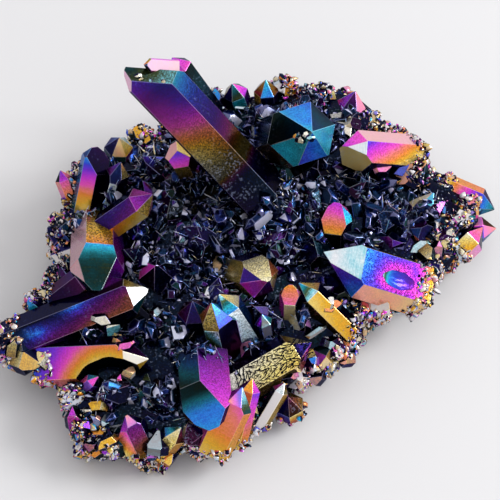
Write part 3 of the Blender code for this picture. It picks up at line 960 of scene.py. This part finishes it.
grow(
    "violet_small_point", (-14, 21.5, 18), (-15.5, 18, 31), 5.5, 10, EVEN, (0.6, -0.2, 0.6, -0.2, 0.6, -0.2),
    c3=Coat((PINK, 0.60), (0.9, 0.8), 0.2),
    c5=Coat((GOLD, STRAW), (0.8, 0.9)),
    c1=Coat(SALMON, (0.7, 0.8), 0.1, 0.3),
    s2=Coat(OLIVE, (0.2, 0.5)),
    s3=Coat((0.12, 0.10), (0.2, 0.5)),
)
grow(
    "lilac_bar", (-36.8, -28.7, 8), (-31.5, -27, 14), 3,
    s0=Coat((0.48, 0.50), 0.9, 0.0, 0.15),
    c0=Coat(PINK, 1.0),
    s1=Coat((PINK, VIOLET), 0.6),
)
grow(
    "mint_point", (-29, -18.5, 7), (-30, -12.5, 17), 5, 20,
    c0=Coat((CREAM, 0.03), 0.9),
    s0=Coat(ICE, (0.7, 0.9)),
    s5=Coat((ORANGE, BLUE), (0.1, 0.2)),
    s1=Coat((ICE, CYAN), (0.5, 0.6)),
)
grow(
    "olive_block", (-39.5, 8.5, 8), (-32.5, 9, 14), 6,
    s0=Coat((0.14, 0.16), (0.25, 0.6), 0.6),
    s1=Coat((0.12, 0.16), (0.2, 0.4), 0.5),
    c0=Coat((GOLD, ORANGE), (0.3, 0.4), 0.5),
)
grow(
    "dark_by_log", (-41, -8, 12), (-32, -5, 20), 6,
    s0=Coat((VIOLET, MAGENTA), (0.03, 0.06)),
    s1=Coat((0.14, 0.20), (0.2, 0.3), 0.5),
    c0=Coat((MAGENTA, VIOLET), 0.1),
)
grow(
    "back_left_point", (-29.2, 26.8, 13), (-28.5, 27.6, 21), 5.5, 10,
    c0=Coat((0.10, 0.08), (0.9, 1.0), 0.1, 0.2, slant=0.1),
    c1=Coat((GOLD, CREAM), (0.8, 0.9)),
    c5=Coat((BLUE, VIOLET), (0.04, 0.08), 0.5),
    c2=Coat((WHITE, ICE), (0.8, 0.9), 0.0, 0.3),
    c3=Coat((ICE, AZURE), (0.7, 0.9), 0.0, 0.4),
    c4=Coat((BLUE, AZURE), (0.1, 0.4), 0.4),
)
grow(
    "left_sliver", (-39.2, 18.9, 9), (-41.7, 23.6, 14), 3.5,
    s0=Coat((GOLD, PINK), 0.9),
    s5=Coat((PINK, SALMON), (0.8, 0.9), 0.2, 0.2),
    c0=Coat((MAGENTA, VIOLET), (0.8, 0.6)),
)

# Smaller points of the field and of the rim.
# Blunt points stand over the slab's top, coarse in the middle and fine towards the edge, and in rows
# round its side. In the middle they are painted nearly black as shade; towards the edge, and furthest in on
# the right-hand side where the light comes from, more of them are painted bright with reflected light.
FIELD_TRIES = 4000
FIELD_SPACING_MIDDLE = 8.8
FIELD_SPACING_EDGE = 6.8
CRUST_ROWS = ((-0.28, 30), (0.05, 34), (0.38, 31))
LEAN = 0.75
ROUGHNESS = 0.45
SINK = 2.2
CLEARANCE = 0.7
PAINTED_BRIGHT_BAND = 13.0
RIM_PAINTED_BRIGHT = 0.75
MIDDLE_PAINTED_BRIGHT = 0.03
GOLDS = (STRAW, STRAW, GOLD, GOLD, ORANGE)
PINKS = (SALMON, PINK, PINK, MAGENTA)
COLDS = (VIOLET, BLUE, AZURE, CYAN)
PALES = (CREAM, CREAM, CREAM, ICE)
DARK_GLINT_SPECKS = (0.2, 0.6, 0.9)
CRUST_WIDTHS = (4.4, 6.6)
CRUST_LENGTHS = (0.3, 0.6)


def top_direction(x, y):
    """The direction from the slab's middle whose surface place lies over a place in plan."""
    angle = math.atan2(y, x)
    reach = outline_radius(math.degrees(angle)) - SLAB_INSET
    flat = min(math.hypot(x, y) / reach, 0.97) ** (1 / SIDE_FULLNESS)
    return Vector((flat * math.cos(angle), flat * math.sin(angle), math.sqrt(1 - flat * flat)))


def stray(rng, amount):
    return Vector([rng.uniform(-amount, amount) for _ in range(3)])


def rim_gap(place):
    """How far inside the slab's plan outline a place lies, in millimetres."""
    angle = math.degrees(math.atan2(place.y, place.x))
    return outline_radius(angle) - math.hypot(place.x, place.y)


def painted_bright_band(place):
    """How far in from the outline bright faces reach, in millimetres: further on the right-hand side."""
    # Painted light: the bright band reaches further in on the right-hand side, where the light comes from.
    return PAINTED_BRIGHT_BAND + min(max(place.x / 40, 0), 1) * 7


def share_painted_bright(place):
    """The share of bright faces: most of them at the rim, very few in the middle."""
    # The bright faces are painted reflection; the dim ones in the middle are painted shade.
    inwards = min(max(rim_gap(place) / painted_bright_band(place), 0), 1)
    return RIM_PAINTED_BRIGHT + (MIDDLE_PAINTED_BRIGHT - RIM_PAINTED_BRIGHT) * inwards**0.7


def small_coat(rng, brightness):
    """The coat of one face of a small point, by how many of the faces round it are bright."""
    # A dim face is painted shade; a bright face is painted reflection, and a pale one is worn film painted as
    # a highlight.
    if rng.random() > brightness:
        start = rng.choice(COLDS + (BLUE, BLUE, TEAL, MAGENTA))
        dim = rng.choice((0.02, 0.04, 0.06, 0.12))
        return Coat((start, start + rng.uniform(-0.1, 0.1)), (dim * 0.5, dim), rng.choice(DARK_GLINT_SPECKS))
    hues = rng.choice((GOLDS, GOLDS, GOLDS, PALES, PALES, PALES, PINKS, COLDS))
    start = rng.choice(hues)
    bright = rng.uniform(0.75, 1.0)
    worn = 0.75 if hues is PALES else rng.choice((0.0, 0.1, 0.3))
    return Coat((start, start + rng.uniform(-0.12, 0.12)), (bright * 0.85, bright), 0.2, worn)


def small_coats(rng, brightness):
    names = [f"s{number}" for number in range(SIDES)] + [f"c{number}" for number in range(SIDES)]
    return {name: small_coat(rng, brightness) for name in names}


def grown(rng, place, way, width, length, tints, brightness):
    """A small point standing on the slab, its faces uneven as quartz grows them."""
    foot = place - way * SINK
    tip = place + way * length
    turn = rng.uniform(0, 60)
    sides = tuple(rng.uniform(0.8, 1.2) for _ in range(SIDES))
    caps = tuple(rng.uniform(-0.3, 0.5) for _ in range(SIDES))
    return point_mesh(foot, tip, width, turn, sides, caps, small_coats(tints, brightness), tints)


def distance_to_point(place, foot, tip):
    """How far a place lies from a named point's axis, in millimetres."""
    along = tip - foot
    share = min(max((place - foot).dot(along) / along.length_squared, 0), 1)
    return (place - foot - along * share).length


def field_points():
    """Points over the slab's top, kept clear of the named ones and of each other."""
    rng = random.Random(23)
    tints = random.Random(5)
    placed = []
    made = []
    for _ in range(FIELD_TRIES):
        angle = rng.uniform(0, math.tau)
        share = math.sqrt(rng.random())
        reach = (outline_radius(math.degrees(angle)) - SLAB_INSET) * share
        x = reach * math.cos(angle)
        y = reach * math.sin(angle)
        spacing = FIELD_SPACING_MIDDLE + (FIELD_SPACING_EDGE - FIELD_SPACING_MIDDLE) * share**2
        if any(math.hypot(x - other.x, y - other.y) < spacing for other in placed):
            continue
        place = slab_place(top_direction(x, y))
        width = spacing * rng.uniform(0.75, 1.0)
        way = (Vector((x, y, 0)) / 50 * LEAN + Vector((0, 0, 1)) + stray(rng, ROUGHNESS)).normalized()
        length = width * rng.uniform(0.5, 1.0)
        middle = place + way * length / 2
        if any(
            distance_to_point(middle, foot, tip) < (size + width) / 2 * CLEARANCE
            for foot, tip, size in named_points
        ):
            continue
        placed.append(place)
        made.append(grown(rng, place, way, width, length, tints, share_painted_bright(place)))
    return made


def crust_points():
    """Short points standing out of the slab's side, row above row."""
    rng = random.Random(51)
    tints = random.Random(9)
    made = []
    for height, count in CRUST_ROWS:
        for number in range(count):
            angle = math.tau * (number + rng.uniform(-0.3, 0.3)) / count
            flat = math.sqrt(1 - height * height)
            outward = Vector((flat * math.cos(angle), flat * math.sin(angle), height))
            place = slab_place(outward)
            way = (outward + Vector((0, 0, 0.25)) + stray(rng, ROUGHNESS)).normalized()
            width = rng.uniform(*CRUST_WIDTHS)
            length = width * rng.uniform(*CRUST_LENGTHS)
            made.append(grown(rng, place, way, width, length, tints, share_painted_bright(place)))
    return made


def join(name, made):
    """One piece of many small meshes drawn in millimetres."""
    whole = bmesh.new()
    for bm in made:
        mesh = bpy.data.meshes.new("part")
        bm.to_mesh(mesh)
        bm.free()
        whole.from_mesh(mesh)
        bpy.data.meshes.remove(mesh)
    return finish_piece(name, whole)


join("field_points", field_points())
join("rim_points", crust_points())

# Druse.
# Thousands of points from a third of a millimetre to four millimetres cover what is left of the slab and the
# feet of the larger points: gold, pink and cream ones round the rim, painted bright, and larger ones in the
# middle, painted near black as shade, with thin painted glints among them.
DRUSE_SHAPES = 12
RIM_TRIES = 40000
RIM_SIZE = (0.35, 1.7)
RIM_LENGTHS = (0.4, 1.1)
FIELD_DRUSE_TRIES = 6600
FIELD_SIZE = (0.9, 3.8)
FIELD_LENGTHS = (0.5, 1.2)
SLIVER_TRIES = 13000
SLIVER_SIZE = (0.10, 0.30)
SLIVER_LENGTHS = (5.0, 16.0)
BARE_FROM = 0.16  # of a named point's length: druse grows over its foot up to here
FLATNESS = (0.45, 1.2)  # how much narrower or wider than round a druse point is


def druse_shapes(edge_wear):
    """A few small points of unit width about the origin, as arrays of what a mesh is made of."""
    rng = random.Random(77)
    shapes = []
    for _ in range(DRUSE_SHAPES):
        sides = tuple(rng.uniform(0.45, 1.2) for _ in range(SIDES))
        caps = tuple(rng.uniform(-0.8, 0.5) for _ in range(SIDES))
        tip = Vector((0, 0, 100 + rng.uniform(0.5, 1.3)))
        bm = point_mesh(Vector((0, 0, 99.4)), tip, 1.0, 0, sides, caps, {}, rng, edge_wear)
        mesh = bpy.data.meshes.new("shape")
        bm.to_mesh(mesh)
        bm.free()
        corners = np.array([vert.co - Vector((0, 0, 100)) for vert in mesh.vertices])
        loops = np.array([loop.vertex_index for loop in mesh.loops])
        counts = np.array([face.loop_total for face in mesh.polygons])
        areas = np.array([face.area for face in mesh.polygons])
        rise = corners[loops, 2] - corners[:, 2].min()
        shapes.append((corners, loops, counts, rise / rise.max(), areas < areas.max() * 0.12))
        bpy.data.meshes.remove(mesh)
    return shapes


def druse_places(wanted, is_here, rng):
    """Places on the cluster's own surface, with the way out of it, spread evenly by area."""
    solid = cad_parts["crystal_cluster"].data
    solid.calc_loop_triangles()
    triangles = solid.loop_triangles
    areas = [triangle.area for triangle in triangles]
    found = []
    for triangle in rng.choices(triangles, weights=areas, k=wanted):
        first, second, third = (solid.vertices[index].co / MM for index in triangle.vertices)
        u, v = sorted((rng.random(), rng.random()))
        place = first * u + second * (v - u) + third * (1 - v)
        if is_here(place, triangle.normal):
            found.append((place, triangle.normal.copy()))
    return found


def on_named_point(place):
    """Whether a place lies on a named point's faces, clear of its foot."""
    for foot, tip, width in named_points:
        along = tip - foot
        share = (place - foot).dot(along) / along.length_squared
        if share > BARE_FROM and distance_to_point(place, foot, tip) < width * 0.66:
            return True
    return False


def is_bare(place, normal):
    """Whether druse can grow here: over the base and off the faces of the named points."""
    return place.z > 0.5 and not on_named_point(place)


def druse(name, places, sizes, lengths, straying, palette, rng, edge_wear=0):
    """One piece with a small point at each place, turned and sized at random."""
    shapes = druse_shapes(edge_wear)
    all_corners, all_loops, all_counts, all_coats = [], [], [], []
    reached = 0
    for place, normal in places:
        corners, loops, counts, rise, narrow = rng.choice(shapes)
        way = (normal + stray(rng, straying)).normalized()
        lie = way.to_track_quat("Z", "Y").to_matrix() @ Matrix.Rotation(rng.uniform(0, math.tau), 3, "Z")
        size = sizes[0] + (sizes[1] - sizes[0]) * rng.random() ** 2
        stretch = np.array((1, rng.uniform(*FLATNESS), rng.uniform(*lengths)))
        turned = (corners * stretch * size) @ np.array(lie.transposed()) + np.array(place)
        turned[:, 2] += max(0.05 - turned[:, 2].min(), 0)
        tints = [palette(rng, place) for _ in counts]
        # Narrow edge faces get the worn edge coat with its painted highlight.
        if edge_wear:
            tints = [EDGE_WEAR_AND_HIGHLIGHT_COAT if thin else tint for thin, tint in zip(narrow, tints)]
        film = np.array([tint.film for tint in tints]).repeat(counts, axis=0)
        gleam = np.array([tint.gleam for tint in tints]).repeat(counts, axis=0)
        rest = np.array([(tint.fleck, tint.worn) for tint in tints]).repeat(counts, axis=0)
        mixed_film = film[:, 0] + (film[:, 1] - film[:, 0]) * rise
        mixed_painted_reflection = gleam[:, 0] + (gleam[:, 1] - gleam[:, 0]) * rise
        all_corners.append(turned)
        all_loops.append(loops + reached)
        all_counts.append(counts)
        all_coats.append(np.column_stack((mixed_film, mixed_painted_reflection, rest)))
        reached += len(corners)
    corners = np.concatenate(all_corners) * MM
    loops = np.concatenate(all_loops)
    counts = np.concatenate(all_counts)
    mesh = bpy.data.meshes.new(name)
    mesh.vertices.add(len(corners))
    mesh.vertices.foreach_set("co", corners.ravel())
    mesh.loops.add(len(loops))
    mesh.loops.foreach_set("vertex_index", loops)
    mesh.polygons.add(len(counts))
    mesh.polygons.foreach_set("loop_start", np.concatenate(([0], counts.cumsum()[:-1])))
    mesh.update(calc_edges=True)
    layer = mesh.attributes.new("coat", "FLOAT_COLOR", "CORNER")
    layer.data.foreach_set("color", np.concatenate(all_coats).ravel())
    across = mesh.uv_layers.new(name="grain")
    across.data.foreach_set("uv", (corners[loops][:, :2] / MM).ravel())
    return dress(new_object(name, mesh))


# The worn edge of a field point: film worn thin, and a painted highlight.
EDGE_WEAR_AND_HIGHLIGHT_COAT = Coat((AZURE, BLUE), (0.2, 0.2), 0.0, 0.16)


def rim_coat(rng, place):
    return small_coat(rng, share_painted_bright(place))


def field_coat(rng, place):
    """Near black with a breath of colour, and now and then a silver or pale blue glint."""
    # Painted shade, near black, and now and then a painted glint.
    start = rng.choice((BLUE, BLUE, 0.66, 0.66, AZURE, AZURE, TEAL, 0.5))
    if rng.random() < 0.13:
        return Coat((AZURE, BLUE), (0.6, 1.0), 0.4, 0.8)
    dim = rng.choice((0.05, 0.06, 0.09, 0.14, 0.24))
    return Coat((start, start), (dim * 0.4, dim), rng.choice(DARK_GLINT_SPECKS))


def sliver_coat(rng, place):
    """A thin glint: silver or pale blue, now and then gold."""
    # A painted glint.
    start = rng.choice((AZURE, AZURE, BLUE, CYAN, STRAW))
    bright = rng.choice((0.3, 0.7, 1.0))
    return Coat((start, start), (bright, bright), 0.0, rng.choice((0.3, 0.9)) * bright)


rng = random.Random(31)
places = druse_places(RIM_TRIES, is_bare, rng)
places = [found for found in places if rim_gap(found[0]) < painted_bright_band(found[0]) / 2]
for name, found in (
    ("rim_druse_front", [found for found in places if found[0].y < 0]),
    ("rim_druse_back_left", [found for found in places if found[0].y >= 0 > found[0].x]),
    ("rim_druse_back_right", [found for found in places if found[0].y >= 0 and found[0].x >= 0]),
):
    druse(name, found, RIM_SIZE, RIM_LENGTHS, 0.9, rim_coat, rng)
places = druse_places(FIELD_DRUSE_TRIES, is_bare, rng)
places = [found for found in places if rim_gap(found[0]) >= painted_bright_band(found[0]) / 2]
druse("field_druse", places, FIELD_SIZE, FIELD_LENGTHS, 0.9, field_coat, rng, 0.03)
places = druse_places(SLIVER_TRIES, is_bare, rng)
places = [found for found in places if rim_gap(found[0]) > painted_bright_band(found[0]) / 2]
druse("field_slivers", places, SLIVER_SIZE, SLIVER_LENGTHS, 1.5, sliver_coat, rng)

# Bright small points.
# Small points with one face painted bright as a reflection stand between the larger ones, each where the line
# from a place on the table to the camera meets the cluster: its place and width in millimetres, film, painted
# reflection, and wear that is also a painted highlight.
BRIGHT_POINTS = (
    (11.5, 41.5, 2.0, STRAW, 1.0, 0.3),
    (13, 42.5, 1.5, CREAM, 1.0, 0.3),
    (13.5, 41, 1.5, ICE, 1.0, 0.2),
    (11, 42, 1.5, 0.84, 0.5, 0.0),
    (-26.5, 58, 1.5, CREAM, 1.0, 0.2),
    (-25.5, 57, 1.0, STRAW, 0.8, 0.2),
    (-23, 56.5, 1.0, ICE, 0.8, 0.2),
    (-20.5, 56.5, 1.0, STRAW, 0.6, 0.2),
    (-21, -5.5, 2.5, WHITE, 1.0, 0.6),
    (-18.5, -12.5, 2.0, WHITE, 1.0, 0.6),
    (-17.5, -13.5, 2.0, CREAM, 1.0, 0.5),
    (-30.5, -23.5, 2.0, WHITE, 1.0, 0.6),
    (-33.5, -26.5, 4.0, GOLD, 1.0, 0.0),
    (-34.5, -28.5, 3.0, CREAM, 0.9, 0.3),
    (-31, -31.5, 3.0, ICE, 0.8, 0.6),
    (-33.5, -30, 2.5, AZURE, 0.6, 0.5),
    (-36.5, -34.5, 3.0, AZURE, 0.8, 0.1),
    (-32.5, -35.5, 3.0, PINK, 0.8, 0.2),
    (-31, -36.5, 4.0, GOLD, 1.0, 0.0),
    (-30, -34, 2.5, SALMON, 1.0, 0.5),
    (-28, -20, 2.0, PINK, 1.0, 0.0),
    (-27.5, -13, 3.0, PINK, 0.9, 0.1),
    (-25, -11.5, 3.0, GOLD, 1.0, 0.1),
    (-28.5, -9.5, 2.5, GOLD, 0.7, 0.1),
    (-28, -11.5, 2.0, ORANGE, 0.7, 0.1),
    (-37, -28.5, 4.5, MAGENTA, 0.9, 0.0),
    (-33, -38.5, 2.5, ORANGE, 1.0, 0.0),
    (-25.5, -18, 3.0, 0.18, 1.0, 0.3),
    (-19.5, -34, 5.5, ICE, 0.35, 0.5),
    (-46.5, -17.5, 6.0, GOLD, 0.9, 0.1),
    (-45.5, -15.5, 3.5, 0.08, 1.0, 0.2),
    (-51, -12, 4.0, GOLD, 0.9, 0.1),
    (-50, -15.5, 3.0, MAGENTA, 0.8, 0.0),
    (-17.5, -26, 3.0, AZURE, 0.25, 0.5),
    (-22, -21, 6.0, 0.87, 0.25, 0.0),
    (-21.5, -39, 3.0, MAGENTA, 0.9, 0.2),
    (-17.5, -39.5, 5.0, GOLD, 1.0, 0.0),
    (-9.5, 0, 2.5, WHITE, 1.0, 0.6),
    (-4, 1.5, 2.0, ICE, 1.0, 0.4),
    (19, -3, 4.0, 0.19, 1.0, 0.1),
    (18, -1.5, 2.5, CREAM, 1.0, 0.5),
    (41.5, 13, 3.5, PINK, 1.0, 0.4),
    (43, 14.5, 3.0, CREAM, 1.0, 0.4),
    (36.5, 10.5, 5.0, 0.97, 1.0, 0.3),
    (38.5, 9.5, 4.0, 0.07, 1.0, 0.2),
    (32.5, 14, 5.5, VIOLET, 0.35, 0.0),
    (41, 5, 4.0, MAGENTA, 0.9, 0.1),
    (40, 9, 4.5, GOLD, 1.0, 0.1),
    (7.5, -20.5, 3.5, PINK, 1.0, 0.3),
    (8.5, -21.5, 3.0, GOLD, 1.0, 0.1),
    (15.5, -19, 4.0, SALMON, 1.0, 0.5),
    (20, -16, 3.5, 0.24, 1.0, 0.3),
    (19.5, -13, 4.0, ICE, 0.9, 0.5),
    (13, -9, 4.0, ICE, 0.6, 0.4),
    (-7.5, 8.5, 4.5, GOLD, 0.25, 0.1),
    (24, 16, 2.0, MAGENTA, 0.6, 0.6),
    (37, 17, 7.0, 0.66, 0.12, 0.0),
    (42.5, 23, 4.5, MAGENTA, 0.9, 0.1),
    (43.5, 21.5, 3.0, AZURE, 0.9, 0.1),
    (33.5, 32, 4.0, BLUE, 0.7, 0.1),
    (31.5, 33, 4.0, PINK, 0.9, 0.2),
    (32.5, 30, 3.0, 0.2, 0.7, 0.0),
    (21.5, 42.5, 6.5, CREAM, 1.0, 0.5),
    (24, 44, 5.0, 0.06, 0.5, 0.3),
    (-31.5, -6, 3.5, CREAM, 0.9, 0.3),
    (-28.5, -10, 2.5, GOLD, 0.8, 0.2),
    (-48.5, -13.5, 3.5, 0.1, 0.9, 0.1),
)

BRIGHT_UP = 0.5
BRIGHT_OUT = 0.85
BRIGHT_BURIED = 0.7
BRIGHT_SHOWN = 0.45
BRIGHT_EDGE = 0.04

rng = random.Random(8)
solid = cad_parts["crystal_cluster"].data
corners = [vert.co for vert in solid.vertices]
surface = BVHTree.FromPolygons(corners, [face.vertices for face in solid.polygons])
made = []
for x, y, width, film_place, gleam, worn in BRIGHT_POINTS:
    way = camera.location - Vector((x, y, 0)) * MM
    place = surface.ray_cast(camera.location, -way)[0] / MM
    lean = rng.uniform(0, math.tau)
    outwards = Vector((math.cos(lean), math.sin(lean), 0))
    axis = (SHOWN * BRIGHT_UP + outwards * BRIGHT_OUT).normalized()
    coats = small_coats(rng, 0.1)
    # The shown face is painted bright as a reflection; the side below it is painted dimmer.
    coats["c0"] = Coat((film_place, film_place + rng.uniform(-0.04, 0.04)), (gleam, gleam), 0.3, worn)
    coats["s0"] = Coat((film_place, film_place - 0.1), (gleam * 0.3, gleam * 0.6), 0.5, worn / 2)
    sides = tuple(rng.uniform(0.6, 1.2) for _ in range(SIDES))
    caps = tuple(rng.uniform(-0.6, 0.4) for _ in range(SIDES))
    foot = place - axis * width * BRIGHT_BURIED
    tip = place + axis * width * BRIGHT_SHOWN
    made.append(point_mesh(foot, tip, width, rng.uniform(-15, 15), sides, caps, coats, rng, BRIGHT_EDGE))
join("bright_points", made)
